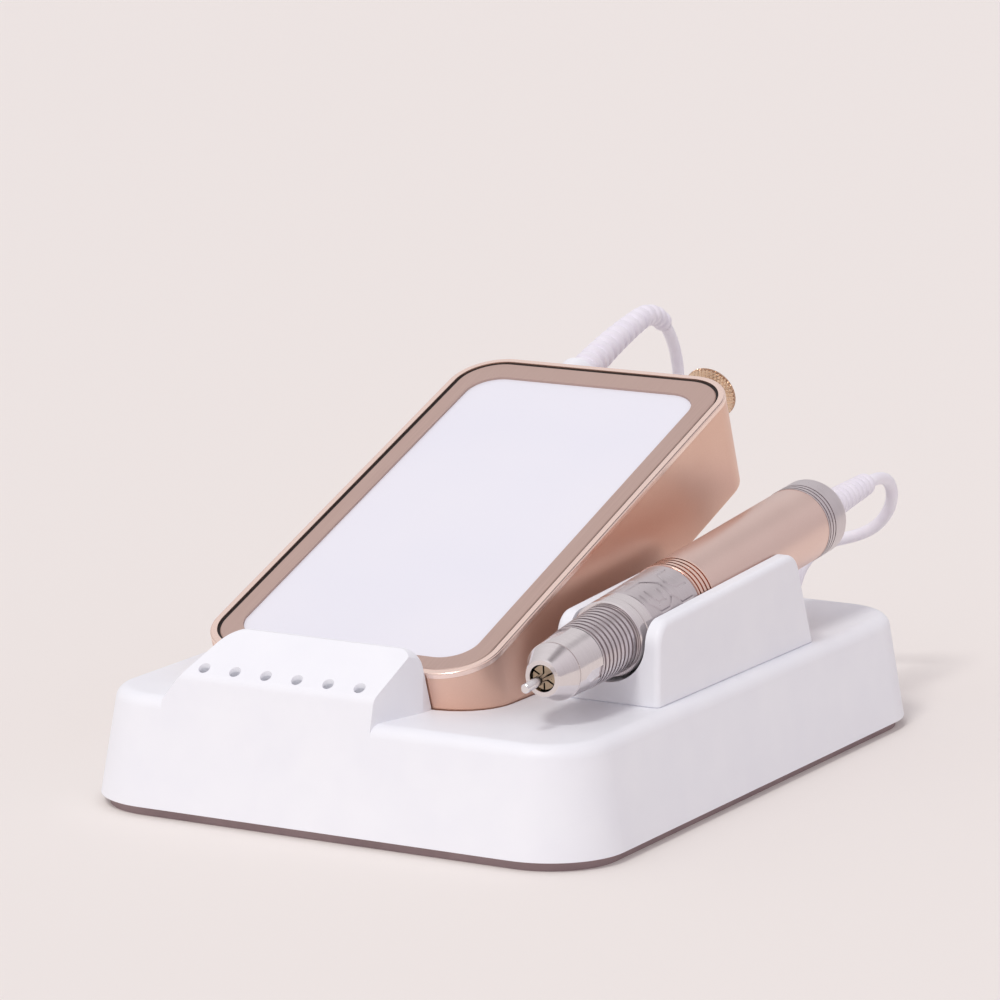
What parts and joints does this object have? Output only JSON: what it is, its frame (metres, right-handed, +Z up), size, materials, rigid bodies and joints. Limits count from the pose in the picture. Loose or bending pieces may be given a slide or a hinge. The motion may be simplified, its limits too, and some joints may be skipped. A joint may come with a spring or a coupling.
{
  "type": "electric nail drill",
  "caption": "Desk electric nail drill: slim handpiece in a white charging dock beside an inclined rose gold display unit with a knurled speed knob, joined by a soft cord.",
  "frame": {"origin": "on the surface it stands on, under the middle of the dock", "axes": "+X right along the dock's front edge, +Y to the back, +Z up"},
  "size_m": [0.1436, 0.2483, 0.0984],
  "materials": {
    "white_plastic": "satin moulded",
    "base_plastic": "matt",
    "pad_rubber": "matt",
    "fixing_steel": "brushed",
    "ballast_steel": "raw",
    "circuit_board": "solder mask",
    "pin_holder": "matt",
    "gold_contact": "gilt",
    "inlet_steel": "bright",
    "rose_satin": "satin anodised",
    "rose_barrel": "satin anodised",
    "rose_rim": "polished anodised",
    "rose_bright": "bright anodised",
    "black_seal": "matt",
    "mauve_face": "matt",
    "pale_window": "gloss",
    "display_stack": "gloss",
    "cell_wrap": "heat-shrink film",
    "cover_plastic": "satin",
    "pot_body": "matt",
    "shaft_steel": "ground",
    "knob_gold": "knurled",
    "knob_silver": "bright",
    "jack_metal": "plated",
    "plug_white": "satin",
    "boot_white": "satin",
    "collet_brass": "worn bright",
    "rotor_steel": "laminated",
    "can_steel": "plated",
    "silver_bright": "polished",
    "silver_satin": "satin",
    "cord_white": "satin"
  },
  "bodies": {
    "dock": {"dock_shell": "white_plastic", "controller_rest": "white_plastic", "handpiece_cradle": "white_plastic", "base_plate": "base_plastic", "non_slip_pad": "pad_rubber", "base_screws": "fixing_steel", "ballast_weight": "ballast_steel", "charge_board": "circuit_board", "pin_block": "pin_holder", "dock_inlet": "inlet_steel", "cord_handpiece": "cord_white", "cord_controller": "cord_white", "cord_coil": "cord_white"},
    "controller": {"controller_housing": "rose_satin", "controller_rim": "rose_rim", "display_gasket": "black_seal", "faceplate": "mauve_face", "display_window": "pale_window", "display_module": "display_stack", "main_board": "circuit_board", "battery_cells": "cell_wrap", "battery_tray": "pin_holder", "back_cover": "cover_plastic", "cover_screws": "fixing_steel", "charge_pads": "gold_contact", "controller_port": "inlet_steel", "speed_pot": "pot_body", "knob_nut": "fixing_steel", "handpiece_jack": "jack_metal", "handpiece_plug": "plug_white", "controller_boot": "boot_white"},
    "knob": {"speed_knob": "knob_gold", "knob_cap": "knob_silver", "pot_shaft": "shaft_steel"},
    "handpiece": {"nose_cone": "silver_bright", "front_sleeve": "silver_bright", "core_tube": "can_steel", "step_ring": "silver_bright", "grip_sleeve": "silver_satin", "accent_ring": "rose_bright", "barrel": "rose_barrel", "end_cap": "silver_satin", "handpiece_boot": "boot_white", "motor_can": "can_steel", "front_bearings": "shaft_steel", "rear_bearing": "shaft_steel"},
    "twist_ring": {"lock_ring": "silver_satin"},
    "rotating_spindle": {"bit_shank": "shaft_steel", "collet": "collet_brass", "spindle": "shaft_steel", "motor_rotor": "rotor_steel"},
    "sprung_pins": {"charge_pins": "gold_contact"}
  },
  "joints": [
    {"name": "controller_lift", "type": "slide", "parent": "dock", "child": "controller", "axis": [0, -0.342, 0.9397], "range_m": [0, 0.045]},
    {"name": "handpiece_lift", "type": "slide", "parent": "dock", "child": "handpiece", "axis": [0, -0.0958, 0.9954], "range_m": [0, 0.045]},
    {"name": "speed_knob_turn", "type": "hinge", "parent": "controller", "child": "knob", "pos_m": [0.0118, 0.07239, 0.07826], "axis": [0, 0.9397, 0.342], "range_deg": [0, 280]},
    {"name": "twist_ring_turn", "type": "hinge", "parent": "handpiece", "child": "twist_ring", "pos_m": [0.0495, -0.05109, 0.04431], "axis": [0, 0.9954, 0.0958], "range_deg": [0, 60]},
    {"name": "spindle_spin", "type": "hinge", "parent": "handpiece", "child": "rotating_spindle", "pos_m": [0.0495, -0.05109, 0.04431], "axis": [0, 0.9954, 0.0958], "continuous": true},
    {"name": "pin_travel", "type": "slide", "parent": "dock", "child": "sprung_pins", "axis": [0, -0.342, 0.9397], "range_m": [-0.0008, 0], "stiffness_N_per_m": 400, "springref_m": 0.0006}
  ]
}
